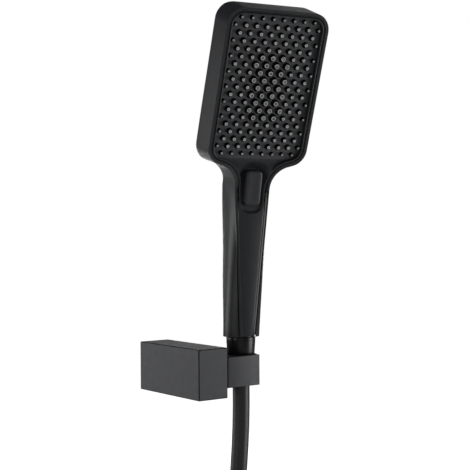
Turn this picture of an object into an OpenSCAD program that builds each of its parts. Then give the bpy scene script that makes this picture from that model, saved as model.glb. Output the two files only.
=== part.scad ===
// Handheld shower head: tall rounded-rectangle rain handset with a push button,
// parked in a tilting wall holder, with its smooth hose wound in a coil below.
// Origin: middle of the bracket's wall face. The wall is the plane Y = 0 and the
// room is -Y. +X points along the holder arm, +Z is up. Millimetres.

/* [Wall bracket] */
// Width of the bracket cover
bracket_w = 28; // [24:0.5:36]
// How far the bracket stands out from the wall
bracket_d = 87.5; // [76:0.5:110]
// Height of the bracket cover
bracket_h = 40.5; // [36:0.5:54]
// Wall thickness of the bracket cover
cover_wall = 2.5; // [2:0.1:3.2]
// Thickness of the wall plate
plate_t = 3; // [2:0.5:4]
// Distance between the two wall screw holes
hole_spacing = 18; // [16:0.5:20]
// Diameter of the wall screw holes
hole_d = 4.5; // [3.5:0.1:5]
// Grub screw diameter
grub_d = 4; // [3:0.5:5]

/* [Holder] */
// Length of the holder arm beyond the bracket side
arm_len = 33; // [31:0.5:40]
// Depth of the holder arm, front to back
arm_d = 30; // [29:0.5:36]
// Height of the holder arm
arm_h = 24.7; // [20:0.1:28]
// Socket axis, measured from the bracket side
socket_x = 24.5; // [23.5:0.5:28]
// Width of the slot that lets the hose out sideways
slot_w = 15.6; // [15.2:0.1:17]
// Wall of the plastic socket liner
liner_wall = 1.2; // [1:0.1:1.5]
// Diameter of the pivot stub that the arm turns on
pivot_d = 12; // [10:0.5:14]

/* [Hose] */
// Outside diameter of the hose
hose_d = 14; // [12:0.5:14.5]
// Bore of the hose
hose_bore = 8; // [6:0.5:9]
// Radius of the coil at the middle of its turns
coil_r = 72; // [66:1:84]
// Number of turns in the coil
coil_turns = 3; // [2:1:4]
// Length of the cone nut
nut_len = 36; // [33:0.5:42]
// Top diameter of the cone nut
nut_top_d = 24; // [23.6:0.1:25]
// Bottom diameter of the cone nut
nut_bottom_d = 19.6; // [18.6:0.1:20.6]
// Width across flats of the supply nut
supply_af = 25; // [24.4:0.2:28]
// Length of the supply nut
supply_len = 14; // [12:0.5:18]

/* [Handset] */
// How far the handset is turned towards the bracket side, degrees
handset_turn = 12.5; // [0:0.5:20]
// Width of the head
head_w = 86; // [82:1:104]
// Length of the head
head_l = 124; // [120:1:149]
// Thickness of the head
head_t = 27; // [24:0.5:33]
// Corner radius of the head
head_r = 14; // [10:0.5:18]
// Forward tilt of the head, degrees
head_tilt = 22.5; // [15:0.5:30]
// Height of the middle of the face above the foot of the handle
face_rise = 195.6; // [194:0.1:236]
// How far the middle of the face stands in front of the handle's foot
face_reach = 54.4; // [50:0.1:62]
// How far the nozzle field sits above the middle of the head
field_up = 0.9; // [0:0.1:2]
// Diameter of the foot of the handle
handle_d = 30; // [28:0.5:34]
// Wall thickness of the shells
shell_wall = 2.4; // [2:0.1:3]
// Width of the border round the recessed face plate
frame_border = 5; // [4.4:0.1:6]
// Thickness of the shell's rim round the front frame
rim_wall = 1.5; // [1.2:0.1:2]

/* [Nozzles] */
// Distance between nozzles in a row
nozzle_pitch = 8.82; // [8:0.01:9]
// Distance between rows
row_pitch = 5.94; // [5.4:0.01:6.1]
// Nozzles in a long row
long_row = 9; // [7:2:9]
// Number of rows
rows = 19; // [15:2:19]
// Diameter of the small nozzles round the edge
tip_small_d = 2.2; // [1.8:0.1:2.4]
// Diameter of the rain nozzles
tip_rain_d = 3.1; // [2.6:0.1:3.4]
// Diameter of the massage nozzles in the middle
tip_massage_d = 4.2; // [3.6:0.1:4.4]

/* [Push button] */
// Button width
button_w = 14; // [12:0.5:15]
// Button length
button_l = 28; // [24:0.5:30]
// Button travel
button_travel = 2.5; // [1.5:0.1:3]
// Button angle from upright, degrees
button_tilt = 14; // [10:0.5:18]

/* [Hidden] */
$fn = 48;

// Clearances
face_gap = 0.3;
run_gap = 0.06;
fit_gap = 0.15;
tip_gap = 0.2;
eps = 0.01;
big = 400;

// Bracket and holder places
side_x = bracket_w / 2;
arm_x0 = side_x + face_gap;
arm_x1 = side_x + arm_len;
socket_y = -bracket_d + arm_d / 2;
axis_x = side_x + socket_x;
lip_t = 4;
lip_len = 12;
lip_w = 16;
bush_wall = 1.5;
bush_flange_t = 1;
bush_flange_w = 2;
washer_t = 0.8;
pivot_screw_d = 5;
pivot_head_d = 9.5;
pivot_head_t = 2.8;
pivot_stub_in = cover_wall + bush_flange_t + 2 * run_gap;

// Cone nut heights
nut_z1 = 26.5;
nut_z0 = nut_z1 - nut_len;
collar_h = 2;
nut_slope = (nut_top_d - nut_bottom_d) / 2 / (nut_len - collar_h);
thread_r = 10.48;
thread_len = 13.8;
ferrule_r = hose_d / 2 + 0.5;
ferrule_flange_r = 9.6;
ferrule_flange_t = 2.4;
washer_h = 2.4;
shoulder_z = nut_z1 - thread_len - washer_h - ferrule_flange_t - 2 * run_gap;

// Handset places
foot_z = nut_z1 + 0.5;
stub_z0 = nut_z1 - thread_len;
stub_up = 14;
stub_collar_r = 10.5;
stub_bore_r = 6.5;
face_z = foot_z + face_rise;
frame_back = 5;
frame_out = 0.7;
facet_t = 2;
facet_inset = 0.8;
rim_out = 1;
plate_face = 2.8;
spray_t = 2.5;
mat_t = 1.2;
tip_out = 3.1;
manifold_t = 2.5;
gasket_t = 2;
distributor_t = 3;
gasket_w = 3;
screw_r = 1.2;
screw_gap = 2;
screw_inset = 2 * shell_wall + gasket_w + screw_r + screw_gap;
y_mat = plate_face + spray_t;
y_manifold = y_mat + mat_t;
y_gasket = y_manifold + manifold_t;
y_distributor = y_gasket + gasket_t;
y_stack = y_distributor + distributor_t;
y_back = head_t - rim_out;
feed_y = y_stack + 4.4;
feed_hole_r = 5;
feed_hole_l = 12;
open_w = head_w - 2 * frame_border;
open_l = head_l - 2 * frame_border;
open_r = head_r - frame_border;
neck_w = 31;
neck_drop = 82;
neck_fillet = 18;
facet_foot_w = 15.6;
facet_foot_y = -11.9;
bend_y = -(face_reach - neck_drop * sin(head_tilt));
bend_z = face_z - neck_drop * cos(head_tilt);
facet_lean = atan((facet_foot_y - bend_y) / (bend_z - foot_z));
facet_len = norm([facet_foot_y - bend_y, bend_z - foot_z]);
neck_back_y = 7;
mid_z = (foot_z + bend_z) / 2;
tube_lean = 5;
tube_r = 6;
tube_bore_r = 4.5;

// Button and selector
button_y = -24.6;
button_z = bend_z + 1;
button_r = 2.5;
button_out = 2.4;
button_deep = 1.6;
stem_r = 2.5;
stem_len = 12;
dish_w = 21;
dish_l = 41;
dish_deep = 1.2;
housing_r = 11;
housing_wall = 1.5;
housing_y0 = 6.6;
housing_y1 = 19;
wheel_r = 9.2;
wheel_y = 13;
wheel_t = 3;
half_rows = (rows - 1) / 2;
massage_rows = 4;
spring_r = 4.3;
spring_wire = 0.8;
seal_r = 4;

// Hose route: down from the ferrule to the coil, hand-chosen points
hose_route = [[38.5, -72.5, -12], [38.5, -72.5, -30], [38, -72.5, -47], [37, -72.5, -64], [35.6, -72.5, -81],
  [34.1, -72.5, -98], [32.8, -72.5, -115], [31.8, -72.5, -132], [31.1, -72.5, -149],
  [30.7, -72.5, -166], [30.5, -72.5, -180]];
coil_pitch = hose_d + 0.3;
coil_x = 30.5 - coil_r;
coil_y0 = -72.5;
coil_z = -180;
// Tail: off the coil, forwards in an easy S, and down to the supply nut
tail_route = [[30.5, -115.4, -180], [30.5, -116, -190], [30.5, -118, -200], [30.5, -121.5, -209],
  [30.5, -126, -217.5], [30.5, -131, -226], [30.5, -134.5, -234], [30.5, -136.9, -240.5],
  [30.5, -137.4, -244.5], [30.5, -137.4, -248]];
tail_end = tail_route[len(tail_route) - 1];
tie_angles = [100, 215];
tie_w = 12;
tie_t = 1.4;
supply_flange_r = 9;
supply_flange_t = 2;
supply_washer_t = 2;
supply_lip = 2.5;
supply_relief = 0.4;
supply_z = tail_end[2] - 12;
supply_seat_z = supply_z - supply_flange_t - supply_washer_t;

// ---- shared shapes ----

// Round bar along Y from y0 to y1
module bar_y(r, y0, y1) {
  translate([0, y0, 0]) rotate([-90, 0, 0]) cylinder(r = r, h = y1 - y0);
}

// Round bar along X from x0 to x1
module bar_x(r, x0, x1) {
  translate([x0, 0, 0]) rotate([0, 90, 0]) cylinder(r = r, h = x1 - x0);
}

// Rounded rectangle, middle at the origin
module round_rect(w, l, r) {
  square([w - 2 * r, l], center = true);
  square([w, l - 2 * r], center = true);
  for (sx = [-1, 1], sy = [-1, 1])
    translate([sx * (w / 2 - r), sy * (l / 2 - r)]) circle(r = r);
}

// Flat shape drawn in X and Z, given thickness from y0 to y1
module slab(y0, y1) {
  translate([0, y1, 0]) rotate([90, 0, 0]) linear_extrude(y1 - y0) children();
}

// Places things in the handset's own frame, on the socket axis
module in_handset() {
  translate([axis_x, socket_y, 0]) rotate([0, 0, -handset_turn]) children();
}

// Places things in the head's frame: middle of the face, -Y out of the face
module in_head() {
  in_handset() on_head() children();
}

// Places things in the button's frame: -Y out of the neck
module in_button() {
  in_handset() on_button() children();
}

// Outline of the head with its neck shoulders
module head_outline(grow = 0) {
  round_rect(head_w + 2 * grow, head_l + 2 * grow, head_r + grow);
  neck_outline(grow);
}

// Neck with a concave fillet on each side, the fillets' centres staying where they are
module neck_outline(grow = 0) {
  fillet_x = neck_w / 2 + neck_fillet;
  fillet_z = -head_l / 2 - neck_fillet;
  r = neck_fillet - grow;
  difference() {
    translate([-fillet_x, -neck_drop]) square([2 * fillet_x, neck_drop - head_l / 2 + head_r]);
    for (side = [-1, 1]) translate([side * fillet_x, fillet_z]) {
      circle(r = r);
      translate([-r, -neck_drop]) square([2 * r, neck_drop]);
    }
  }
}

// One tube swept along points, as rings of sides joined up
function ring_dir(p, i) = let (a = p[max(i - 1, 0)], b = p[min(i + 1, len(p) - 1)]) (b - a) / norm(b - a);
function ring_side(d) = let (s = cross(d, [0, 1, 0])) s / norm(s);
function ring(p, i, r, n) = let (d = ring_dir(p, i), s = ring_side(d), t = cross(d, s))
  [for (k = [0 : n - 1]) p[i] + r * (cos(360 * k / n) * s + sin(360 * k / n) * t)];
module swept_tube(p, r, n = 12) {
  m = len(p);
  points = [for (i = [0 : m - 1]) each ring(p, i, r, n)];
  walls = [for (i = [0 : m - 2], k = [0 : n - 1])
    [i * n + k, (i + 1) * n + k, (i + 1) * n + (k + 1) % n, i * n + (k + 1) % n]];
  start = [[for (k = [0 : n - 1]) k]];
  end = [[for (k = [n - 1 : -1 : 0]) (m - 1) * n + k]];
  polyhedron(points, concat(walls, start, end));
}

// ---- wall bracket ----

module wall_plate() {
  inner_w = bracket_w - 2 * cover_wall - 1;
  inner_h = bracket_h - 2 * cover_wall - 2 * fit_gap;
  color("silver") difference() {
    union() {
      translate([-inner_w / 2, -plate_t, -inner_h / 2]) cube([inner_w, plate_t, inner_h]);
      translate([-lip_w / 2, -plate_t - lip_len, -inner_h / 2]) cube([lip_w, lip_len + eps, lip_t]);
    }
    for (side = [-1, 1])
      translate([0, 0, side * hole_spacing / 2]) bar_y(hole_d / 2, -plate_t - 1, 1);
    translate([0, -plate_t - lip_len / 2, -inner_h / 2 - 1]) cylinder(d = grub_d, h = lip_t + 2);
  }
}

module bracket_cover() {
  color([0.16, 0.16, 0.17]) difference() {
    translate([-side_x, -bracket_d, -bracket_h / 2]) cube([bracket_w, bracket_d, bracket_h]);
    translate([-side_x + cover_wall, -bracket_d + cover_wall, -bracket_h / 2 + cover_wall])
      cube([bracket_w - 2 * cover_wall, bracket_d, bracket_h - 2 * cover_wall]);
    translate([0, socket_y, 0]) bar_x(pivot_d / 2 + bush_wall, side_x - cover_wall - 1, side_x + 1);
    translate([0, -plate_t - lip_len / 2, -bracket_h / 2 - 1]) cylinder(d = grub_d, h = cover_wall + 2);
  }
}

module grub_screw() {
  socket_d = 2;
  length = cover_wall + lip_t + fit_gap - 1;
  color("dimgray") translate([0, -plate_t - lip_len / 2, -bracket_h / 2 + 0.5]) difference() {
    cylinder(d = grub_d, h = length);
    translate([0, 0, -1]) cylinder(d = socket_d, h = 2.8);
  }
}

module pivot_bush() {
  r = pivot_d / 2;
  color("whitesmoke") translate([0, socket_y, 0]) difference() {
    union() {
      bar_x(r + bush_wall, side_x - cover_wall, side_x);
      bar_x(r + bush_wall + bush_flange_w, side_x - cover_wall - bush_flange_t, side_x - cover_wall);
    }
    bar_x(r + run_gap, side_x - cover_wall - bush_flange_t - 1, side_x + 1);
  }
}

// ---- holder ----

// Outline of the nut's cone grown sideways, spun round the socket axis
module socket_cone(grow, z0, z1) {
  r0 = nut_bottom_d / 2 + (z0 - nut_z0) * nut_slope + grow;
  r1 = nut_bottom_d / 2 + (z1 - nut_z0) * nut_slope + grow;
  translate([axis_x, socket_y, z0]) cylinder(r1 = r0, r2 = r1, h = z1 - z0);
}

// Sideways way out for the hose
module hose_slot(w) {
  translate([axis_x, socket_y - w / 2, -arm_h]) cube([arm_len, w, 2 * arm_h]);
}

module holder_arm() {
  stub_len = arm_x0 - side_x + pivot_stub_in;
  color([0.12, 0.12, 0.13]) difference() {
    union() {
      translate([arm_x0, -bracket_d, -arm_h / 2]) cube([arm_x1 - arm_x0, arm_d, arm_h]);
      translate([0, socket_y, 0]) bar_x(pivot_d / 2, arm_x0 - stub_len, arm_x0 + eps);
    }
    socket_cone(face_gap + liner_wall, -arm_h / 2 - 1, arm_h / 2 + 1);
    hose_slot(slot_w);
    translate([0, socket_y, 0]) bar_x(pivot_screw_d / 2, 0, arm_x0 + 6);
  }
}

module holder_liner() {
  color([0.07, 0.07, 0.07]) difference() {
    socket_cone(face_gap + liner_wall - run_gap, -arm_h / 2, arm_h / 2);
    socket_cone(face_gap, -arm_h / 2 - 1, arm_h / 2 + 1);
    hose_slot(slot_w);
    translate([arm_x1, socket_y - arm_d, -arm_h]) cube([arm_len, 2 * arm_d, 2 * arm_h]);
  }
}

pivot_x = side_x - pivot_stub_in;

module pivot_washer() {
  color("gainsboro") translate([0, socket_y, 0]) difference() {
    bar_x(pivot_d / 2 + 3, pivot_x - washer_t, pivot_x);
    bar_x(pivot_screw_d / 2 + fit_gap, pivot_x - 2 * washer_t, pivot_x + 1);
  }
}

module wave_washer() {
  color("silver") translate([0, socket_y, 0]) difference() {
    bar_x(pivot_d / 2 + 1, pivot_x - 2 * washer_t, pivot_x - washer_t);
    bar_x(pivot_screw_d / 2 + fit_gap, pivot_x - 3 * washer_t, pivot_x);
  }
}

module pivot_screw() {
  head_x = pivot_x - 2 * washer_t;
  color("silver") translate([0, socket_y, 0]) difference() {
    union() {
      bar_x(pivot_head_d / 2, head_x - pivot_head_t, head_x);
      bar_x(pivot_screw_d / 2, head_x - eps, arm_x0 + 5);
    }
    bar_x(1.6, head_x - pivot_head_t - 1, head_x - 1);
  }
}

// ---- hose ----

module hose_ferrule() {
  z0 = hose_route[0][2];
  color("gold") translate([axis_x, socket_y, 0]) difference() {
    union() {
      translate([0, 0, z0]) cylinder(r = ferrule_r, h = shoulder_z + run_gap - z0 + eps);
      translate([0, 0, shoulder_z + run_gap]) cylinder(r = ferrule_flange_r, h = ferrule_flange_t);
    }
    translate([0, 0, z0 - 1]) cylinder(r = hose_bore / 2, h = shoulder_z - z0 + ferrule_flange_t + 2);
  }
}

module hose_tube() {
  color([0.1, 0.1, 0.1]) swept_tube(hose_route, hose_d / 2);
}

module hose_coil() {
  half = hose_d / 2;
  color([0.1, 0.1, 0.1]) translate([coil_x, 0, coil_z]) rotate([90, 0, 0]) rotate_extrude($fn = 96)
    translate([coil_r - half, -coil_y0 - half])
      square([hose_d, coil_turns * coil_pitch + hose_d]);
}

module hose_tail() {
  color([0.1, 0.1, 0.1]) swept_tube(tail_route, hose_d / 2);
}

// Straps round the bundle of turns
module coil_ties() {
  half = hose_d / 2 + fit_gap;
  wide = coil_turns * coil_pitch + hose_d + 2 * fit_gap;
  span = 2 * asin(tie_w / 2 / coil_r);
  color("black") translate([coil_x, 0, coil_z]) rotate([90, 0, 0])
    for (a = tie_angles) rotate([0, 0, a - span / 2]) rotate_extrude(angle = span, $fn = 96)
      difference() {
        translate([coil_r - half - tie_t, -coil_y0 - half - tie_t])
          square([2 * (half + tie_t), wide + 2 * tie_t]);
        translate([coil_r - half, -coil_y0 - half]) square([2 * half, wide]);
      }
}

module at_supply(z) {
  translate([tail_end[0], tail_end[1], z]) children();
}

module supply_ferrule() {
  color("gold") difference() {
    union() {
      at_supply(supply_z - eps) cylinder(r = ferrule_r, h = tail_end[2] - supply_z + eps);
      at_supply(supply_z - supply_flange_t) cylinder(r = supply_flange_r, h = supply_flange_t);
    }
    at_supply(supply_seat_z) cylinder(r = hose_bore / 2, h = tail_end[2] - supply_seat_z + 1);
  }
}

// Hexagonal nut: thread, a relief for flange and washer, and a lip behind the flange
module supply_nut() {
  corner_r = supply_af / 2 / cos(30);
  nut_z = supply_z + supply_lip - supply_len;
  color("dimgray") difference() {
    intersection() {
      at_supply(nut_z) cylinder(r = corner_r, h = supply_len, $fn = 6);
      at_supply(nut_z) cylinder(r = corner_r - 0.4, h = supply_len);
    }
    at_supply(nut_z - 1) cylinder(r = thread_r, h = supply_seat_z - nut_z + 2);
    at_supply(supply_seat_z) cylinder(r = thread_r + supply_relief, h = supply_z + run_gap - supply_seat_z);
    at_supply(nut_z) cylinder(r = ferrule_r + run_gap, h = supply_len + 1);
  }
}

module supply_washer() {
  color("black") difference() {
    at_supply(supply_seat_z) cylinder(r = supply_flange_r, h = supply_washer_t);
    at_supply(supply_seat_z - 1) cylinder(r = hose_bore / 2, h = supply_washer_t + 2);
  }
}

// ---- handset: inlet ----

module cone_nut() {
  collar_bevel = 0.6;
  color([0.12, 0.12, 0.12]) translate([axis_x, socket_y, 0]) difference() {
    rotate_extrude() polygon([[0, nut_z0], [nut_bottom_d / 2 - 0.5, nut_z0], [nut_bottom_d / 2, nut_z0 + 0.5],
      [nut_top_d / 2, nut_z1 - collar_h], [nut_top_d / 2, nut_z1 - collar_bevel],
      [nut_top_d / 2 - collar_bevel, nut_z1], [0, nut_z1]]);
    translate([0, 0, nut_z0 - 1]) cylinder(r = ferrule_r + run_gap, h = nut_len);
    translate([0, 0, shoulder_z]) cylinder(r = thread_r + fit_gap, h = nut_len);
  }
}

module nut_washer() {
  color("black") translate([axis_x, socket_y, stub_z0 - washer_h]) difference() {
    cylinder(r = thread_r - 0.5, h = washer_h);
    translate([0, 0, -1]) cylinder(r = stub_bore_r, h = washer_h + 2);
  }
}

module inlet_stub() {
  color("gold") in_handset() difference() {
    union() {
      translate([0, 0, stub_z0]) cylinder(r = thread_r, h = foot_z - stub_z0 + eps);
      translate([0, 0, foot_z]) cylinder(r = stub_collar_r, h = stub_up);
    }
    translate([0, 0, stub_z0 - 1]) cylinder(r = stub_bore_r, h = foot_z + stub_up - stub_z0 + 2);
  }
}

module flow_regulator() {
  hub_r = 1.6;
  color("seagreen") in_handset() translate([0, 0, stub_z0 + 2]) difference() {
    cylinder(r = stub_bore_r - 0.05, h = 6);
    for (i = [0 : 5]) rotate([0, 0, 60 * i]) translate([3.6, 0, -1]) cylinder(r = hub_r - 0.2, h = 8);
  }
}

// ---- handset: shells ----

// Slice of the handle: rounded rectangle from y_front to y_back
module slice(z, w, y_front, y_back, r) {
  translate([0, (y_front + y_back) / 2, z]) linear_extrude(0.1)
    hull() for (sx = [-1, 1], sy = [-1, 1])
      translate([sx * (w / 2 - r), sy * ((y_back - y_front) / 2 - r)]) circle(r = r, $fn = 32);
}

// Handle and neck, lofted through four sections
module handle_loft(shrink = 0) {
  d = handle_d - 2 * shrink;
  w = neck_w - 0.6 - 2 * shrink;
  hull() {
    translate([0, 0, foot_z]) cylinder(d = d, h = 0.1, $fn = 64);
    slice(mid_z, w - 0.5, -20 + shrink, 11.5 - shrink, 12 - shrink);
  }
  hull() {
    slice(mid_z, w - 0.5, -20 + shrink, 11.5 - shrink, 12 - shrink);
    slice(bend_z, w, bend_y - 2 + shrink, neck_back_y - shrink, 8 - shrink);
  }
  hull() {
    slice(bend_z, w, bend_y - 2 + shrink, neck_back_y - shrink, 8 - shrink);
    on_head() slab(-2, y_back - 0.5 - shrink) translate([-w / 2, 2 - head_l / 2]) square([w, 8]);
  }
}

// Places things on the front of the handle, hanging down from the neck's bend
module on_handle_front() {
  translate([0, bend_y, bend_z]) rotate([facet_lean, 0, 0]) children();
}

// Places things in the head's frame, from inside the handset's frame
module on_head() {
  translate([0, -face_reach, face_z]) rotate([head_tilt, 0, 0]) children();
}

// Places things on the button's axis, from inside the handset's frame
module on_button() {
  translate([0, button_y, button_z]) rotate([button_tilt, 0, 0]) children();
}

// Outline of the long facet down the front of the handle
module facet_outline(inset) {
  top = neck_w / 2 - inset;
  foot = facet_foot_w / 2 - inset;
  polygon([[-top, 0.6], [top, 0.6], [foot, -facet_len], [-foot, -facet_len]]);
}

// Handle and neck cut flat in front, in line with the face
module handle_body() {
  difference() {
    handle_loft();
    on_head() translate([-big / 2, -big - rim_out, -neck_drop - 1]) cube([big, big, big]);
    on_handle_front() translate([-big / 2, -big - rim_out, -big]) cube([big, big, big + 1]);
  }
}

// The front frame's solid with its long facet, before its openings
module frame_body(extra = 0) {
  on_head() slab(-frame_out - extra, frame_back) head_outline(-rim_wall);
  on_handle_front() slab(-frame_out - extra, facet_t - rim_out) facet_outline(facet_inset);
}

module back_shell() {
  color([0.18, 0.18, 0.19]) in_handset() difference() {
    union() {
      on_head() slab(-rim_out, y_back) head_outline();
      handle_body();
    }
    frame_body(big / 20);
    on_head() {
      slab(-1, y_back - shell_wall)
        round_rect(head_w - 2 * shell_wall, head_l - 2 * shell_wall, head_r - shell_wall);
      translate([0, feed_y, -head_l / 2 - feed_hole_l]) cylinder(r = feed_hole_r, h = 2 * feed_hole_l);
    }
    translate([0, 0, foot_z - 1]) cylinder(r = stub_collar_r, h = stub_up + 1);
    translate([0, 0, foot_z + stub_up - 1]) rotate([tube_lean, 0, 0])
      cylinder(r = tube_r + 1, h = bend_z - foot_z - 12);
    on_button() {
      bar_y(housing_r + fit_gap, -5, housing_y1 + fit_gap);
      slab(-5, button_deep + button_travel + face_gap)
        round_rect(button_w + 2 * face_gap, button_l + 2 * face_gap, button_r + face_gap);
    }
  }
}

module front_frame() {
  color([0.15, 0.15, 0.16]) in_handset() difference() {
    frame_body();
    on_head() slab(-5, frame_back + 1) round_rect(open_w, open_l, open_r);
    on_button() {
      slab(-10, dish_deep) round_rect(dish_w, dish_l, dish_w / 2 - 1);
      slab(-10, 10) round_rect(button_w + 2 * face_gap, button_l + 2 * face_gap, button_r + face_gap);
      bar_y(housing_r + fit_gap, housing_y0 - 1, housing_y1);
    }
  }
}

// ---- handset: waterways ----

module water_tube() {
  color("lightgray") in_handset() translate([0, 0, foot_z + stub_up]) rotate([tube_lean, 0, 0]) difference() {
    translate([0, 0, 0.7]) cylinder(r = tube_r, h = bend_z - foot_z - stub_up - 14);
    cylinder(r = tube_bore_r, h = bend_z);
  }
}

module selector_housing() {
  color("lightgray") in_button() difference() {
    bar_y(housing_r, housing_y0, housing_y1);
    bar_y(housing_r - housing_wall, housing_y0 + 2 * housing_wall, housing_y1 - housing_wall);
    bar_y(seal_r, housing_y0 - 1, housing_y0 + 2);
    bar_y(stem_r + run_gap, housing_y0 - 1, housing_y0 + 4);
    translate([0, housing_y1 - 4.2, -housing_r - 1]) cylinder(r = 2, h = 5);
    translate([0, housing_y1 - 4.2, housing_r - 4]) cylinder(r = 2, h = 5);
  }
}

module stem_seal() {
  color("black") in_button() difference() {
    bar_y(seal_r - 0.05, housing_y0 + 0.1, housing_y0 + 1.9);
    bar_y(stem_r + run_gap, housing_y0 - 1, housing_y0 + 3);
  }
}

module feed_elbow() {
  duct_r = 4.2;
  bore_r = 3;
  z0 = -head_l / 2 + shell_wall + 1;
  color("lightgray") in_head() difference() {
    union() {
      translate([0, feed_y, z0]) cylinder(r = duct_r, h = 26);
      translate([0, 0, z0 + 21]) bar_y(duct_r, y_stack, feed_y);
    }
    translate([0, feed_y, z0 - 1]) cylinder(r = bore_r, h = 25);
    translate([0, 0, z0 + 21]) bar_y(bore_r, y_stack - 1, feed_y);
  }
}

module distributor() {
  inset = 2 * shell_wall;
  color("lightgray") in_head() difference() {
    slab(y_distributor, y_stack) round_rect(head_w - 2 * inset, head_l - 2 * inset, head_r - inset);
    translate([0, 0, -head_l / 2 + shell_wall + 22]) bar_y(3, y_distributor - 1, y_stack + 1);
    screw_places() bar_y(screw_r + 0.5, y_distributor - 1, y_stack + 1);
  }
}

// The four screw places in the corners of the chamber
module screw_places() {
  for (sx = [-1, 1], sz = [-1, 1])
    translate([sx * (head_w / 2 - screw_inset), 0, sz * (head_l / 2 - screw_inset)]) children();
}

module chamber_gasket() {
  inset = 2 * shell_wall;
  color("black") in_head() slab(y_gasket, y_distributor) difference() {
    round_rect(head_w - 2 * inset, head_l - 2 * inset, head_r - inset);
    round_rect(head_w - 2 * (inset + gasket_w), head_l - 2 * (inset + gasket_w), head_r - inset - gasket_w);
  }
}

module manifold_plate() {
  inset = 2 * shell_wall;
  slot_l = head_l - 44;
  color("lightgray") in_head() difference() {
    slab(y_manifold, y_gasket) round_rect(head_w - 2 * inset, head_l - 2 * inset, head_r - inset);
    for (i = [-3 : 3]) translate([i * nozzle_pitch, 0, 0])
      slab(y_manifold - 1, y_gasket + 1) round_rect(2.4, slot_l, 1.1);
    screw_places() bar_y(screw_r, y_manifold - 1, y_gasket + 1);
  }
}

module manifold_screws() {
  head_r = 2.8;
  head_h = 1.8;
  color("silver") in_head() screw_places() {
    bar_y(screw_r, y_manifold, y_stack + eps);
    difference() {
      bar_y(head_r, y_stack, y_stack + head_h);
      bar_y(1, y_stack + head_h - 1, y_stack + head_h + 1);
    }
  }
}

// ---- handset: nozzles ----

// Rows and columns count from the middle; a row with an odd number has one nozzle fewer
function in_row(r) = abs(r) % 2 == 1 ? long_row - 1 : long_row;
function nozzle_x(r, i) = (i - (in_row(r) - 1) / 2) * nozzle_pitch;
function is_massage(r, i) = abs(r) <= massage_rows && abs(nozzle_x(r, i)) < 1.6 * nozzle_pitch;
function is_edge(r, i) = abs(r) == half_rows || abs(nozzle_x(r, i)) > (long_row / 2 - 0.6) * nozzle_pitch;
function tip_d(r, i) = is_massage(r, i) ? tip_massage_d : is_edge(r, i) ? tip_small_d : tip_rain_d;

module each_nozzle(massage) {
  for (r = [-half_rows : half_rows], i = [0 : in_row(r) - 1])
    if (is_massage(r, i) == massage)
      translate([nozzle_x(r, i), 0, field_up + r * row_pitch]) children(is_edge(r, i) ? 1 : 0);
}

// One soft tip, from the mat out through the plate
module tip(d) {
  translate([0, y_mat + eps, 0]) rotate([90, 0, 0])
    cylinder(r1 = d / 2, r2 = d / 2 - 0.25, h = spray_t + tip_out, $fn = 16);
}

// Outline of the massage mat, between its own nozzles and the rain nozzles round it
module massage_area(grow = 0) {
  wide = 3.5 * nozzle_pitch + 0.4;
  high = (2 * massage_rows + 1) * row_pitch;
  translate([0, field_up]) round_rect(wide + 2 * grow, high + 2 * grow, 3);
}

module rain_mat() {
  color("gray") in_head() {
    slab(y_mat, y_manifold) difference() {
      round_rect(open_w - 2, open_l - 2, open_r - 1);
      massage_area(fit_gap);
    }
    each_nozzle(false) {
      tip(tip_rain_d);
      tip(tip_small_d);
    }
  }
}

module massage_mat() {
  color("gray") in_head() {
    slab(y_mat, y_manifold) massage_area();
    each_nozzle(true) {
      tip(tip_massage_d);
      tip(tip_massage_d);
    }
  }
}

module spray_plate() {
  color([0.17, 0.18, 0.19]) in_head() slab(plate_face, y_mat) difference() {
    round_rect(open_w - 2 * fit_gap, open_l - 2 * fit_gap, open_r - fit_gap);
    each_nozzle_flat(false);
    each_nozzle_flat(true);
  }
}

// Holes in the plate, drawn flat
module each_nozzle_flat(massage) {
  for (r = [-half_rows : half_rows], i = [0 : in_row(r) - 1])
    if (is_massage(r, i) == massage)
      translate([nozzle_x(r, i), field_up + r * row_pitch])
        circle(d = tip_d(r, i) + 2 * tip_gap, $fn = 16);
}

// ---- handset: button ----

module button_cap() {
  color([0.1, 0.1, 0.1]) in_button() {
    slab(-button_out, button_deep) round_rect(button_w, button_l, button_r);
    bar_y(stem_r, button_deep - eps, button_deep + stem_len);
  }
}

module button_spring() {
  color("silver") in_button() difference() {
    bar_y(spring_r, button_deep + 0.05, housing_y0 - 0.05);
    bar_y(spring_r - spring_wire, button_deep - 1, housing_y0 + 1);
  }
}

module selector_wheel() {
  teeth = 6;
  color("orange") in_button() difference() {
    bar_y(wheel_r, wheel_y, wheel_y + wheel_t);
    bar_y(stem_r + run_gap, wheel_y - 1, wheel_y + wheel_t + 1);
    for (i = [0 : teeth - 1]) rotate([0, 360 * i / teeth, 0])
      translate([6.2, 0, 0]) bar_y(1.5, wheel_y - 1, wheel_y + wheel_t + 1);
  }
}

wall_plate();
bracket_cover();
grub_screw();
pivot_bush();
holder_arm();
holder_liner();
pivot_washer();
wave_washer();
pivot_screw();
hose_ferrule();
hose_tube();
hose_coil();
hose_tail();
coil_ties();
supply_ferrule();
supply_nut();
supply_washer();
cone_nut();
nut_washer();
inlet_stub();
flow_regulator();
back_shell();
water_tube();
selector_housing();
stem_seal();
feed_elbow();
distributor();
chamber_gasket();
manifold_plate();
manifold_screws();
rain_mat();
massage_mat();
spray_plate();
front_frame();
button_cap();
button_spring();
selector_wheel();
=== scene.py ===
from math import acos, asin, atan2, cos, degrees, hypot, pi, radians, sin, sqrt, tan

import bmesh
import bpy
from mathutils import Matrix, Vector


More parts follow.
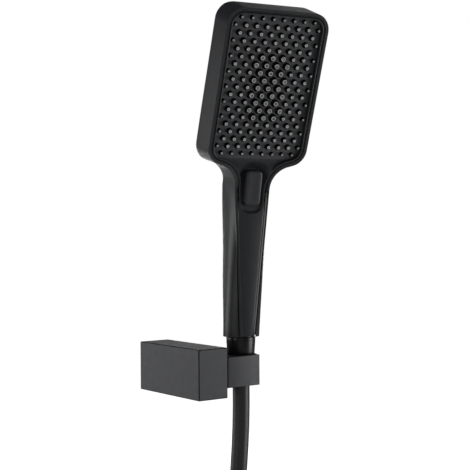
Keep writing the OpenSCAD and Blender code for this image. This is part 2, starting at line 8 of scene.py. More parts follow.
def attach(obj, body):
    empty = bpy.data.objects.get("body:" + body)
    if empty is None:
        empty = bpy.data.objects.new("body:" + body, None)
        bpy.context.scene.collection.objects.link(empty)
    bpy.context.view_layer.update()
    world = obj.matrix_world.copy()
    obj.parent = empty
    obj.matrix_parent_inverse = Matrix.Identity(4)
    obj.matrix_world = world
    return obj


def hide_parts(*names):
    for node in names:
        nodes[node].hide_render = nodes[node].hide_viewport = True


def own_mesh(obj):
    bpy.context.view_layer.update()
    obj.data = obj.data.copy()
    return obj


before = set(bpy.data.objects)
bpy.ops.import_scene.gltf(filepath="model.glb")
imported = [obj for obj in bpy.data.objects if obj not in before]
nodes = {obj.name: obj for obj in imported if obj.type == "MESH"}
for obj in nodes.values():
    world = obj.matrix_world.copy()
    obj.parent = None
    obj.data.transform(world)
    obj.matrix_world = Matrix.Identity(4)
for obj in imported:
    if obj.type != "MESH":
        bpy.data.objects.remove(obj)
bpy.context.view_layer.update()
MM = 0.001


# ---- Studio: a pale floor, a white room and four soft lights; the camera stands low on the left.

def shader(name):
    material = bpy.data.materials.new(name)
    material.use_nodes = True
    tree = material.node_tree
    return material, tree, tree.nodes["Principled BSDF"]


def studio():
    material, tree, skin = shader("studio_paper")
    skin.inputs["Base Color"].default_value = (0.86, 0.86, 0.86, 1)
    skin.inputs["Roughness"].default_value = 0.9
    rays = tree.nodes.new("ShaderNodeLightPath")
    skin.inputs["Emission Color"].default_value = (1, 1, 1, 1)
    glow = tree.nodes.new("ShaderNodeMath")
    glow.operation = "MULTIPLY"
    glow.inputs[1].default_value = 0.97
    tree.links.new(rays.outputs["Is Camera Ray"], glow.inputs[0])
    tree.links.new(glow.outputs["Value"], skin.inputs["Emission Strength"])
    noise = tree.nodes.new("ShaderNodeTexNoise")
    noise.inputs["Scale"].default_value = 40
    bump = tree.nodes.new("ShaderNodeBump")
    bump.inputs["Strength"].default_value = 0.05
    tree.links.new(noise.outputs["Fac"], bump.inputs["Height"])
    tree.links.new(bump.outputs["Normal"], skin.inputs["Normal"])
    bm = bmesh.new()
    bmesh.ops.create_grid(bm, x_segments=4, y_segments=4, size=12)
    mesh = bpy.data.meshes.new("studio_floor")
    bmesh.ops.translate(bm, vec=(0, 0, -0.3), verts=bm.verts)
    bm.to_mesh(mesh)
    bm.free()
    mesh.materials.append(material)
    floor = bpy.data.objects.new("studio_floor", mesh)
    bpy.context.scene.collection.objects.link(floor)


def soft_light(name, place, aim, size, watts):
    data = bpy.data.lights.new(name, "AREA")
    data.shape = "RECTANGLE"
    data.size, data.size_y = size
    data.energy = watts
    light = bpy.data.objects.new(name, data)
    light.location = place
    light.rotation_euler = (Vector(aim) - Vector(place)).to_track_quat("-Z", "Y").to_euler()
    bpy.context.scene.collection.objects.link(light)


studio()
world = bpy.data.worlds.new("studio_room")
world.use_nodes = True
room = world.node_tree
seen = room.nodes["Background"]
seen.inputs["Color"].default_value = (1, 1, 1, 1)
seen.inputs["Strength"].default_value = 1.0
around = room.nodes.new("ShaderNodeBackground")
around.inputs["Color"].default_value = (0.95, 0.97, 1, 1)
around.inputs["Strength"].default_value = 0.07
rays = room.nodes.new("ShaderNodeLightPath")
either = room.nodes.new("ShaderNodeMixShader")
room.links.new(rays.outputs["Is Camera Ray"], either.inputs["Fac"])
room.links.new(around.outputs["Background"], either.inputs[1])
room.links.new(seen.outputs["Background"], either.inputs[2])
room.links.new(either.outputs["Shader"], room.nodes["World Output"].inputs["Surface"])
bpy.context.scene.world = world
bpy.context.scene.view_settings.view_transform = "Standard"
soft_light("right_softbox", (0.97, -0.85, -0.05), (0.03, -0.08, 0.1), (0.6, 0.9), 7.5)
soft_light("left_strip", (-1.15, -0.25, 0.2), (0.03, -0.08, 0.12), (0.1, 1.4), 1.9)
soft_light("left_back_panel", (-0.75, 0.95, 0.0), (0.0, -0.04, 0.0), (0.8, 0.9), 4)
soft_light("front_fill", (-0.9, -1.3, 0.0), (0.0, -0.07, 0.1), (1.2, 0.9), 1.2)
soft_light("back_reflector", (0.75, 1.0, 0.06), (0.0, -0.05, 0.0), (1.2, 0.16), 2.4)
soft_light("rear_fill", (1.2, 1.0, 0.7), (0.0, -0.05, 0.0), (0.8, 0.8), 1.6)

camera_data = bpy.data.cameras.new("camera")
camera_data.lens = 80.4
camera_data.sensor_width = 36
camera = bpy.data.objects.new("camera", camera_data)
camera.location = (-0.4812, -0.7641, 0.1101)
camera.rotation_euler = (radians(90), radians(0.38), radians(-36.645))
bpy.context.scene.collection.objects.link(camera)
bpy.context.scene.camera = camera


# ---- Bracket cover: a square tube of pressed metal with a closed end, matt black powder coat.
# It slides over the wall plate, and a grub screw below holds it.

def grainy(name, colour, rough, rough_spread=0.06, grain=900, grain_depth=0.12, shade=0.12,
           shade_scale=30, metal=0.0, coat=0.0, specular=0.5):
    """A finish with fine grain, uneven gloss and a slight drift in its shade."""
    material, tree, skin = shader(name)
    skin.inputs["Metallic"].default_value = metal
    skin.inputs["Specular IOR Level"].default_value = specular
    if coat:
        skin.inputs["Coat Weight"].default_value = coat
        skin.inputs["Coat Roughness"].default_value = 0.25
    place = tree.nodes.new("ShaderNodeTexCoord")

    def noise(scale, detail=2.0):
        node = tree.nodes.new("ShaderNodeTexNoise")
        node.inputs["Scale"].default_value = scale
        node.inputs["Detail"].default_value = detail
        tree.links.new(place.outputs["Object"], node.inputs["Vector"])
        return node.outputs["Fac"]

    def spread(value, low, high):
        node = tree.nodes.new("ShaderNodeMapRange")
        node.inputs["From Min"].default_value = 0.3
        node.inputs["From Max"].default_value = 0.7
        node.inputs["To Min"].default_value = low
        node.inputs["To Max"].default_value = high
        tree.links.new(value, node.inputs["Value"])
        return node.outputs["Result"]

    drift = noise(shade_scale, 3.0)
    ramp = tree.nodes.new("ShaderNodeMix")
    ramp.data_type = "RGBA"
    ramp.inputs["A"].default_value = (*[c * (1 - shade) for c in colour], 1)
    ramp.inputs["B"].default_value = (*[c * (1 + shade) for c in colour], 1)
    tree.links.new(spread(drift, 0, 1), ramp.inputs["Factor"])
    tree.links.new(ramp.outputs["Result"], skin.inputs["Base Color"])
    tree.links.new(spread(noise(shade_scale * 7), rough - rough_spread, rough + rough_spread),
                   skin.inputs["Roughness"])
    bump = tree.nodes.new("ShaderNodeBump")
    bump.inputs["Strength"].default_value = grain_depth
    bump.inputs["Distance"].default_value = 0.00005
    tree.links.new(noise(grain, 1.0), bump.inputs["Height"])
    tree.links.new(bump.outputs["Normal"], skin.inputs["Normal"])
    return material


def build(bm, name, body, materials, smooth_angle=35, bevel=None, replaces=(), solidify=None):
    """Makes a finished piece of a bmesh, with its modifiers, and seats it on its body."""
    mesh = bpy.data.meshes.new(name)
    bm.to_mesh(mesh)
    bm.free()
    for material in materials:
        mesh.materials.append(material)
    piece = bpy.data.objects.new(name, mesh)
    bpy.context.scene.collection.objects.link(piece)
    mesh.polygons.foreach_set("use_smooth", [True] * len(mesh.polygons))
    if solidify:
        wall = piece.modifiers.new("wall", "SOLIDIFY")
        wall.thickness = solidify[0]
        wall.offset = -1
        wall.use_even_offset = True
        if len(solidify) > 1:
            group = piece.vertex_groups.new(name="wall")
            for index, weight in enumerate(solidify[1]):
                group.add([index], weight, "REPLACE")
            wall.vertex_group = "wall"
    if bevel:
        edge = piece.modifiers.new("edges", "BEVEL")
        edge.width = bevel
        edge.segments = 3
        edge.limit_method = "ANGLE"
        edge.angle_limit = radians(smooth_angle)
        edge.harden_normals = True
        # Bevel faces take the piece's last material; where that is the painted shade black, the edges get
        # painted dark lines.
        edge.material = len(materials) - 1
    else:
        mesh.set_sharp_from_angle(angle=radians(smooth_angle))
    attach(piece, body)
    if replaces:
        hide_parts(*replaces)
    return piece


def turned(axis, degrees_):
    return Matrix.Rotation(radians(degrees_), 4, axis)


def at(x, y, z):
    """A place given in millimetres."""
    return Matrix.Translation((x * MM, y * MM, z * MM))


def block(bm, low, high):
    """A box between two corners in millimetres; returns its vertices."""
    size = [(h - l) * MM for l, h in zip(low, high)]
    middle = [(h + l) / 2 for l, h in zip(low, high)]
    made = bmesh.ops.create_cube(bm, size=1, matrix=at(*middle) @ Matrix.Diagonal((*size, 1)))
    return made["verts"]


def round_hole(bm, centre, normal, radius, half, segments=24):
    """Cuts a round hole in a flat face: a square is cut out round it and bridged to a circle."""
    centre = Vector(centre) * MM
    normal = Vector(normal)
    sides = [Vector(a) for a in ((1, 0, 0), (0, 1, 0), (0, 0, 1)) if abs(normal.dot(Vector(a))) < 0.5]
    for side in sides:
        for sign in (-1, 1):
            bmesh.ops.bisect_plane(bm, geom=bm.verts[:] + bm.edges[:] + bm.faces[:], dist=1e-7,
                                   plane_co=centre + side * sign * half * MM, plane_no=side)
    bm.faces.ensure_lookup_table()
    for face in bm.faces[:]:
        gap = face.calc_center_median() - centre
        if face.normal.dot(normal) > 0.9 and gap.length < half * MM * 0.3:
            rim = [edge for edge in face.edges]
            bmesh.ops.delete(bm, geom=[face], context="FACES_ONLY")
            turn = normal.to_track_quat("Z", "Y").to_matrix().to_4x4()
            ring = bmesh.ops.create_circle(bm, segments=segments, radius=radius * MM,
                                           matrix=Matrix.Translation(centre) @ turn)["verts"]
            inner = list({edge for vert in ring for edge in vert.link_edges})
            bmesh.ops.bridge_loops(bm, edges=rim + inner)
            return


cover_w = 28
cover_d = 87.5
cover_h = 40.5
socket_y = -72.5
cover_coat = grainy("cover_coat", (0.053, 0.0545, 0.062), 0.5, rough_spread=0.03, grain=1400, grain_depth=0.35,
                    shade=0.04)
# Near black gloss for bevelled edges, grooves and countersinks: painted dark edge reflections and painted
# shade, not a coat the parts have.
painted_shade_black = grainy("painted_shade_black", (0.004, 0.004, 0.0045), 0.25, grain=900, grain_depth=0.05, specular=0.25)
bm = bmesh.new()
block(bm, (-cover_w / 2, -cover_d, -cover_h / 2), (cover_w / 2, 0, cover_h / 2))
wall_side = [face for face in bm.faces if face.normal.y > 0.9]
bmesh.ops.delete(bm, geom=wall_side, context="FACES")
round_hole(bm, (cover_w / 2, socket_y, 0), (1, 0, 0), 7.5, 9)
round_hole(bm, (0, -9, -cover_h / 2), (0, 0, -1), 2, 3, 16)
bmesh.ops.recalc_face_normals(bm, faces=bm.faces)
# The cover's bevelled edges take the painted shade black: painted dark edge lines.
build(bm, "bracket_cover_pressed", "bracket", [cover_coat, painted_shade_black], bevel=0.7 * MM,
      solidify=(2.5 * MM,), replaces=["bracket_cover"])


# ---- Bracket insides: zinc-plated steel wall plate, grub screw, pivot washers and screw, acetal bush.
# They stay as designed, and take their metal and plastic here.

def finish(node, material):
    mesh = nodes[node].data
    mesh.materials.clear()
    mesh.materials.append(material)


plated_steel = grainy("plated_steel", (0.55, 0.55, 0.56), 0.32, grain=500, grain_depth=0.1, metal=1.0)
acetal = grainy("acetal", (0.72, 0.72, 0.7), 0.45, grain=700, grain_depth=0.1, shade=0.04)
for node in ("wall_plate", "grub_screw", "wave_washer", "pivot_screw", "manifold_screws"):
    finish(node, plated_steel)
finish("pivot_bush", acetal)
finish("pivot_washer", acetal)


# ---- Holder arm: a cast block with a cone bored through it and a mouth for the hose, coated matt black.
# A stub on its left turns in the bracket's bush.

arm_x0 = 14.3
arm_x1 = 47
arm_d = 30
arm_h = 24.7
axis_x = 38.5
mouth_w = 15.6
cone_r = 9.8
cone_z0 = -9.5
cone_slope = 2.2 / 34
seat_gap = 1.5


def bore_radius(z):
    return cone_r + (z - cone_z0) * cone_slope + seat_gap


def arm_outline(z, corner=1.6):
    """The arm from above: a block with rounded corners, open at the right into its bore."""
    radius = bore_radius(z)
    start = degrees(asin(mouth_w / 2 / radius))
    points = []
    for k in range(25):
        turn = radians(start + (360 - 2 * start) * k / 24)
        points.append((axis_x + radius * cos(turn), socket_y + radius * sin(turn)))
    points.append((arm_x1, socket_y - mouth_w / 2))
    low = socket_y - arm_d / 2
    high = socket_y + arm_d / 2
    for cx, cy, begin in ((arm_x1 - corner, low + corner, 0), (arm_x0 + 0.8, low + 0.8, -90),
                          (arm_x0 + 0.8, high - 0.8, -180), (arm_x1 - corner, high - corner, -270)):
        r = corner if cx > axis_x else 0.8
        for k in range(5):
            turn = radians(begin - 90 * k / 4)
            points.append((cx + r * cos(turn), cy + r * sin(turn)))
    points.append((arm_x1, socket_y + mouth_w / 2))
    return points


def skin(bm, rows, closed=False, looks=()):
    """Joins rows of points, all as long as each other, into a surface of four-sided faces.
    The strips between two rows take their material numbers from looks, and 0 past its end."""
    made = [[bm.verts.new(point) for point in row] for row in rows]
    for strip, (one, two) in enumerate(zip(made, made[1:])):
        material = looks[strip] if strip < len(looks) else 0
        count = len(one)
        for k in range(count if closed else count - 1):
            corners = (one[k], one[(k + 1) % count], two[(k + 1) % count], two[k])
            if len(set(corners)) == 4:
                bm.faces.new(corners).material_index = material
    return made


arm_coat = grainy("arm_coat", (0.038, 0.039, 0.044), 0.48, rough_spread=0.03, grain=1400, grain_depth=0.35,
                  shade=0.04)
bm = bmesh.new()
rows = [[(x * MM, y * MM, z * MM) for x, y in arm_outline(z)] for z in (-arm_h / 2, arm_h / 2)]
made = skin(bm, rows, closed=True)
for row in made:
    bm.faces.new(row)
bmesh.ops.create_cone(bm, cap_ends=True, segments=32, radius1=6 * MM, radius2=6 * MM, depth=4.2 * MM,
                      matrix=at(arm_x0 - 1.8, socket_y, 0) @ turned("Y", 90))
bmesh.ops.recalc_face_normals(bm, faces=bm.faces)
# The arm's bevelled edges take the painted shade black: painted dark edge lines.
build(bm, "holder_arm_cast", "holder", [arm_coat, painted_shade_black], bevel=0.35 * MM,
      replaces=["holder_arm"])

liner_plastic = grainy("liner_plastic", (0.02, 0.02, 0.021), 0.4, grain=900, grain_depth=0.1)
finish("holder_liner", liner_plastic)


# ---- Hose: a smooth 14 mm shower hose, 1.6 m long, black PVC over a braid.
# It leaves its ferrule, hangs down, and its spare length is wound in a coil of three turns.

hose_d = 14
coil_r = 72
coil_turns = 3
coil_pitch = 14.3
hose_points = [(38.5, -72.5, -12), (38.5, -72.5, -30), (38, -72.5, -47), (37, -72.5, -64),
               (35.6, -72.5, -81), (34.1, -72.5, -98), (32.8, -72.5, -115), (31.8, -72.5, -132),
               (31.1, -72.5, -149), (30.7, -72.5, -166), (30.5, -72.5, -180)]
tail_points = [(30.5, -115.4, -180), (30.5, -116, -190), (30.5, -118, -200), (30.5, -121.5, -209),
               (30.5, -126, -217.5), (30.5, -131, -226), (30.5, -134.5, -234), (30.5, -136.9, -240.5),
               (30.5, -137.4, -244.5), (30.5, -137.4, -248)]
per_turn = 40
coil_x = hose_points[-1][0] - coil_r
coil_z = hose_points[-1][2]
route = list(hose_points)
for k in range(1, coil_turns * per_turn):
    turn = 2 * pi * k / per_turn
    route.append((coil_x + coil_r * cos(turn), -72.5 - coil_pitch * k / per_turn, coil_z - coil_r * sin(turn)))
route += tail_points


def material_hose():
    return grainy("hose_skin", (0.034, 0.0355, 0.039), 0.4, rough_spread=0.03, grain=1500, grain_depth=0.03,
                  shade=0.08)


curve = bpy.data.curves.new("hose_smooth", "CURVE")
curve.dimensions = "3D"
curve.bevel_depth = hose_d / 2 * MM
curve.bevel_resolution = 8
curve.resolution_u = 4
curve.use_fill_caps = True
spline = curve.splines.new("POLY")
spline.points.add(len(route) - 1)
for point, spot in zip(spline.points, route):
    point.co = (*[c * MM for c in spot], 1)
curve.materials.append(material_hose())
hose = bpy.data.objects.new("hose_smooth", curve)
bpy.context.scene.collection.objects.link(hose)
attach(hose, "hose")
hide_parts("hose_tube", "hose_coil", "hose_tail")

brass = grainy("brass", (0.72, 0.5, 0.2), 0.3, grain=500, grain_depth=0.08, metal=1.0)
washer_rubber = grainy("washer_rubber", (0.02, 0.02, 0.02), 0.7, grain=900, grain_depth=0.3)
nut_coat = grainy("nut_coat", (0.008, 0.008, 0.009), 0.3, rough_spread=0.03, grain=1500, grain_depth=0.04,
                  shade=0.06)
for node in ("hose_ferrule", "supply_ferrule"):
    finish(node, brass)
finish("inlet_stub", nut_coat)
for node in ("supply_washer", "nut_washer", "stem_seal", "chamber_gasket"):
    finish(node, washer_rubber)
finish("supply_nut", nut_coat)


# ---- Coil straps: two hook-and-loop straps round the three turns, woven nylon.

tie_angles = (100, 215)
strap_w = 12
strap_t = 1.2


def strap_weave():
    material, tree, skin_ = shader("strap_weave")
    place = tree.nodes.new("ShaderNodeTexCoord")
    weave = tree.nodes.new("ShaderNodeTexVoronoi")
    weave.inputs["Scale"].default_value = 1400
    tree.links.new(place.outputs["Object"], weave.inputs["Vector"])
    bump = tree.nodes.new("ShaderNodeBump")
    bump.inputs["Strength"].default_value = 0.6
    bump.inputs["Distance"].default_value = 0.0003
    tree.links.new(weave.outputs["Distance"], bump.inputs["Height"])
    tree.links.new(bump.outputs["Normal"], skin_.inputs["Normal"])
    mix = tree.nodes.new("ShaderNodeMix")
    mix.data_type = "RGBA"
    mix.inputs["A"].default_value = (0.008, 0.008, 0.009, 1)
    mix.inputs["B"].default_value = (0.03, 0.03, 0.031, 1)
    tree.links.new(weave.outputs["Distance"], mix.inputs["Factor"])
    tree.links.new(mix.outputs["Result"], skin_.inputs["Base Color"])
    skin_.inputs["Roughness"].default_value = 0.85
    skin_.inputs["Sheen Weight"].default_value = 0.3
    return material


def strap(bm, angle):
    """One strap: the bundle's outline, a row of round hoses, taken along the coil by its width."""
    half = hose_d / 2 + 0.15
    reach = coil_turns * coil_pitch / 2
    rows = []
    for s in range(5):
        lean = radians(angle) + (s / 4 - 0.5) * strap_w / coil_r
        row = []
        for k in range(32):
            turn = 2 * pi * k / 32
            thick = half + strap_t
            out = thick * cos(turn)
            along = thick * sin(turn) + (reach if sin(turn) > 0 else -reach)
            r = coil_r + out
            row.append(((coil_x + r * cos(lean)) * MM, (-72.5 - reach + along) * MM,
                        (coil_z - r * sin(lean) * -1) * MM))
        rows.append(row)
    skin(bm, rows, closed=True)


bm = bmesh.new()
for angle in tie_angles:
    strap(bm, angle)
bmesh.ops.recalc_face_normals(bm, faces=bm.faces)
build(bm, "coil_straps_woven", "hose", [strap_weave()], solidify=(strap_t * MM,),
      replaces=["coil_ties"])


# ---- Cone nut: a turned and coated brass nut, a cone with a short collar on top.
# It screws onto the handset's inlet and seats in the holder.

def revolve(bm, profile, centre, segments=64, material=0):
    """Spins a closed outline of (radius, height) points round an upright axis."""
    verts = [bm.verts.new(((centre[0] + r) * MM, centre[1] * MM, z * MM)) for r, z in profile]
    edges = [bm.edges.new((verts[k], verts[(k + 1) % len(verts)])) for k in range(len(verts))]
    bmesh.ops.spin(bm, geom=verts + edges, cent=(centre[0] * MM, centre[1] * MM, 0), axis=(0, 0, 1),
                   angle=2 * pi, steps=segments, use_merge=True)


nut_z0 = -9.5
nut_z1 = 26.5
bm = bmesh.new()
revolve(bm, [(7.6, -9.5), (9.2, -9.5), (9.6, -9.4), (9.82, -9.05), (12, 23.9), (11.75, 24.1),
             (11.75, 24.5), (12.05, 24.7), (12.05, 25.9), (11.9, 26.3), (11.5, 26.5), (10.65, 26.5),
             (10.65, 7.8), (7.6, 7.8)], (axis_x, socket_y))
bmesh.ops.recalc_face_normals(bm, faces=bm.faces)
build(bm, "cone_nut_turned", "handset", [nut_coat], replaces=["cone_nut"])

regulator_green = grainy("regulator_green", (0.1, 0.35, 0.2), 0.4, grain=700, grain_depth=0.1)
finish("flow_regulator", regulator_green)


# ---- Back shell: one moulding for the handle, the neck and the back of the head, satin black.
# Its sections run up from a round foot; in front its edge is the outline that the front frame fills.

handset = at(axis_x, socket_y, 0) @ turned("Z", -12.5)
head = handset @ at(0, -54.4, 222.6) @ turned("X", 22.5)
head_w = 86
head_l = 124
head_corner = 14
neck_half = 15.5
neck_z = -82
neck_fillet = 18
foot_half = 7.8
facet_length = 120.35
facet_turn = 5.3 - 22.5
handle_rows = 12
shoulder_turn = 10.5


def arc(cx, cz, r, begin, end, steps):
    return [(cx + r * cos(radians(begin + (end - begin) * k / steps)),
             cz + r * sin(radians(begin + (end - begin) * k / steps))) for k in range(steps + 1)]


def outline(grow):
    """The right half of the front outline, drawn flat from the foot up to the top, grown by some mm."""
    fillet_x = neck_half + neck_fillet
    fillet_z = -head_l / 2 - neck_fillet
    corner_x = head_w / 2 - head_corner
    corner_z = head_l / 2 - head_corner
    lean = degrees(atan2(-corner_z - fillet_z, corner_x - fillet_x))
    off = degrees(acos((neck_fillet + head_corner) / hypot(corner_x - fillet_x, -corner_z - fillet_z)))
    touch = lean + off
    points = []
    for k in range(handle_rows):
        t = k / handle_rows
        end = 0 if k else -0.3 * grow
        points.append((foot_half + (neck_half - foot_half) * t + grow, neck_z - facet_length * (1 - t) + end))
    points.append((neck_half + grow, neck_z))
    points += arc(fillet_x, fillet_z, neck_fillet - grow, 180, touch, 12)
    points += arc(corner_x, -corner_z, head_corner + grow, touch - 180, 0, 8)
    points += [(head_w / 2 + grow, -corner_z + 2 * corner_z * k / 4) for k in range(1, 4)]
    points += arc(corner_x, corner_z, head_corner + grow, 0, 90, 10)
    return points


def in_face(x, y, z):
    """Takes a flat place to the head's face, or past the bend to the handle's long facet."""
    if z >= neck_z:
        return head @ (Vector((x, y, z)) * MM)
    bend = head @ at(0, 0, neck_z) @ turned("X", facet_turn)
    return bend @ (Vector((x, y, z - neck_z)) * MM)


def ease(value, low, high):
    """Goes from 0 to 1 as a value goes from low to high, with soft ends."""
    t = min(max((value - low) / (high - low), 0), 1)
    return t * t * (3 - 2 * t)


def rim_wide(z):
    return 2.4 - 1.7 * ease(-z, -neck_z - 8, -neck_z + 14)


def section(x, z):
    """One section of the shell, from its left front edge round the back to the right front edge."""
    top_round = 3
    if z < neck_z:
        t = (z - neck_z + facet_length) / facet_length
        half = 15 + 0.5 * t
        front_end = 11.9 - 2.5 * ease(t, 0, 0.5)
        back = 26.9 + 2.4 * ease(t, 0, 0.5) + 1.6 * ease(t, 0.5, 1)
        corner = half - 3.2 * ease(t, 0, 0.5) - 4.8 * ease(t, 0.5, 1)
    else:
        t = ease(z, neck_z, -head_l / 2 + 4)
        half = x
        front_end = 3
        back = 30.9 - 2.4 * t - 2 * ease(z, -head_l / 2, head_l / 2)
        corner = 7.5 - 5.2 * t
        from_top = head_l / 2 - z
        if from_top < top_round:
            drop = top_round - sqrt(max(top_round ** 2 - (top_round - from_top) ** 2, 0))
            back -= drop
    back_start = back - corner
    side = []
    share = min(x / half, 1)
    begin = acos(share)
    for k in range(7):
        turn = begin * (1 - k / 6)
        if begin > 0.02:
            side.append((half * cos(turn), front_end * (1 - sin(turn) / sin(begin))))
        else:
            side.append((half, back_start * k / 6))
    for k in range(1, 9):
        turn = pi / 2 * k / 8
        side.append((half - corner + corner * cos(turn), back_start + corner * sin(turn)))
    flat = half - corner
    side += [(flat * (1 - k / 3), back) for k in (1, 2)]
    return [(-px, py) for px, py in side] + [(0, back)] + side[::-1]


def section_plane(z):
    """Where a section lies: level at the foot, and square to the face in the head."""
    if z >= neck_z:
        return head @ at(0, 0, z) @ turned("X", -shoulder_turn * (1 - ease(z, -head_l / 2, -head_l / 2 + 36)))
    t = (z - neck_z + facet_length) / facet_length
    bend = head @ at(0, 0, neck_z) @ turned("X", facet_turn) @ at(0, 0, z - neck_z)
    return bend @ turned("X", -5.3 + (22.5 - shoulder_turn) * ease(t, 0.3, 1))


def shell_rows():
    rim_out = 1
    rows = []
    for x, z in outline(0):
        place = section_plane(z) @ at(0, -rim_out, 0)
        rows.append([place @ (Vector((px, py, 0)) * MM) for px, py in section(x, z)])
    return rows


shell_coat = grainy("shell_coat", (0.027, 0.0283, 0.032), 0.38, rough_spread=0.03, grain=1500, grain_depth=0.12,
                    shade=0.06)
bm = bmesh.new()
rows = shell_rows()
made = skin(bm, rows)
bm.faces.new(made[-1])
weights = []
for x, z in outline(0):
    weights += [rim_wide(z) / 2.4] * len(rows[0])
bmesh.ops.recalc_face_normals(bm, faces=bm.faces)
build(bm, "back_shell_moulded", "handset", [shell_coat], bevel=0.3 * MM,
      solidify=(2.4 * MM, weights), replaces=["back_shell"])


# ---- Front frame: the coated moulding that fills the shell's rim, a raised band round the face,
# the neck with the button's dish, and the long facet down the handle.

band_in = 5
frame_coat = grainy("frame_coat", (0.029, 0.0305, 0.034), 0.4, rough_spread=0.03, grain=1500, grain_depth=0.12,
                    shade=0.06)


def crown(x, z):
    """How far the handle's facet bulges: a little along its middle, nothing in the head."""
    t = min(max((z - neck_z + facet_length) / facet_length, 0), 1)
    half = foot_half + (neck_half - foot_half) * t
    return 1.1 * ease(-z, -neck_z - 4, -neck_z + 40) * max(1 - (x / half) ** 2, 0)


def sunk(z):
    """How much of the face plate's depth the surface has: all of it in the head, none in the handle."""
    return ease(z, -head_l / 2 - 6, -head_l / 2 + 5)


def band_point(k, side, inset, y):
    z_mid = outline(0)[k][1]
    out = -(rim_wide(z_mid) + 0.4)
    grow = out - inset if side == "out" else -band_in + inset
    grow = min(grow, out - 0.01 * (1 if side == "out" else 2))
    x, z = outline(grow)[k]
    depth = sunk(z_mid)
    if side == "in" and 1.3 < inset < 2.2:
        y = -0.6 + 1.2 * ease(z_mid, neck_z - 16, neck_z)
    elif side == "in":
        y = -0.7 + (y + 0.7) * depth if y < 3.9 else 4.2
    if y < 1:
        y -= crown(x, z)
    return x, y, z


profile = [("out", 0.0, 4.2), ("out", 0.0, -0.1), ("out", 0.1, -0.5), ("out", 0.4, -0.65),
           ("in", 2.45, -0.65), ("in", 2.3, -0.5), ("in", 2.1, 0.6), ("in", 1.35, 0.6), ("in", 1.15, -0.5),
           ("in", 1.0, -0.6), ("in", 0.35, -0.6), ("in", 0.1, -0.4), ("in", 0.0, 3.2), ("in", 0.0, 4.2)]
# Strip 0, the band's outer wall in the groove by the shell's rim, is painted black as shade; strips 5 to 7, the
# groove down the band's middle, are marked 2 for the same painted shade.
profile_looks = (1, 0, 0, 0, 0, 2, 2, 2)
count = len(outline(0))
bm = bmesh.new()
rows = []
for side, inset, y in profile:
    right = [band_point(k, side, inset, y) for k in range(count)]
    loop = right + [(-x, y_, z) for x, y_, z in right[::-1]]
    rows.append([in_face(*spot) for spot in loop])
made = skin(bm, rows + rows[:1], closed=True, looks=profile_looks)
to_head = head.inverted()
# Marked strips in the head take the painted shade black; lower down they keep the frame's coat.
for face in bm.faces:
    if face.material_index == 2:
        face.material_index = 1 if (to_head @ face.calc_center_median()).z > (neck_z - 8) * MM else 0
bmesh.ops.remove_doubles(bm, verts=bm.verts, dist=1e-7)
bmesh.ops.recalc_face_normals(bm, faces=bm.faces)
build(bm, "front_frame_band", "handset", [frame_coat, painted_shade_black], smooth_angle=40)

# The panel inside the band, from the plate's lower edge down the neck and the handle.
def panel_rows():
    inner = [(x, z) for x, z in outline(-band_in) if z < -head_l / 2 + band_in]
    x1, z1 = inner[-1]
    nearest = outline(-band_in)[len(inner)]
    t = (-head_l / 2 + band_in - z1) / (nearest[1] - z1)
    inner.append((x1 + (nearest[0] - x1) * t, -head_l / 2 + band_in))
    full = []
    for (xa, za), (xb, zb) in zip(inner, inner[1:]):
        steps = max(1, int((zb - za) / 2.5))
        full += [(xa + (xb - xa) * k / steps, za + (zb - za) * k / steps) for k in range(steps)]
    return full + inner[-1:]


bm = bmesh.new()
across = 24
panel_t = 9
front = []
back = []
for x, z in panel_rows():
    y = -0.7 + 3.5 * sunk(z)
    line = [x * (2 * k / across - 1) for k in range(across + 1)]
    front.append([in_face(px, y - crown(px, z), z) for px in line])
    back.append([in_face(px, y + panel_t, z) for px in line[::-1]])
rows = [f + b for f, b in zip(front, back)]
made = skin(bm, rows, closed=True)
bm.faces.new(made[0])
bm.faces.new(made[-1][::-1])
bmesh.ops.recalc_face_normals(bm, faces=bm.faces)
panel = build(bm, "front_frame_panel", "handset", [frame_coat], smooth_angle=40,
              replaces=["front_frame"])


def round_rect(w, l, r, steps=6):
    points = []
    for cx, cz, begin in ((w / 2 - r, l / 2 - r, 0), (-w / 2 + r, l / 2 - r, 90),
                          (-w / 2 + r, -l / 2 + r, 180), (w / 2 - r, -l / 2 + r, 270)):
        points += arc(cx, cz, r, begin, begin + 90, steps)
    return points


def prism(bm, points, y0, y1, place):
    rows = [[place @ (Vector((x, y, z)) * MM) for x, z in points] for y in (y0, y1)]
    made = skin(bm, rows, closed=True)
    for row in made:
        bm.faces.new(row)


def cut(piece, cutters):
    """Takes cutters out of a piece and keeps the result as its mesh."""
    for cutter_bm in cutters:
        bmesh.ops.recalc_face_normals(cutter_bm, faces=cutter_bm.faces)
        mesh = bpy.data.meshes.new("cutter")
        cutter_bm.to_mesh(mesh)
        cutter_bm.free()
        cutter = bpy.data.objects.new("cutter", mesh)
        bpy.context.scene.collection.objects.link(cutter)
        knife = piece.modifiers.new("cut", "BOOLEAN")
        knife.operation = "DIFFERENCE"
        knife.solver = "EXACT"
        knife.object = cutter
        bpy.context.view_layer.update()
        whole = piece.evaluated_get(bpy.context.evaluated_depsgraph_get())
        result = bpy.data.meshes.new_from_object(whole)
        piece.modifiers.clear()
        piece.data = result
        bpy.data.objects.remove(cutter)
    piece.data.polygons.foreach_set("use_smooth", [True] * len(piece.data.polygons))
    piece.data.set_sharp_from_angle(angle=radians(28))


button = handset @ at(0, -24.6, 147.842) @ turned("X", 14)
dish = bmesh.new()
dish_place = button @ at(0, 1.9, -1.6) @ turned("X", -8.5)
rows = [[dish_place @ (Vector((x, -grow, z)) * MM) for x, z in
         round_rect(17.6 + 2 * grow, 34.8 + 2 * grow, 6.5 + grow, 10)] for grow in (0, 14)]
made = skin(dish, rows, closed=True)
for row in made:
    dish.faces.new(row)
well = bmesh.new()
prism(well, round_rect(14.6, 28.6, 3.8), -10, 14, button)
cut(panel, [dish, well])


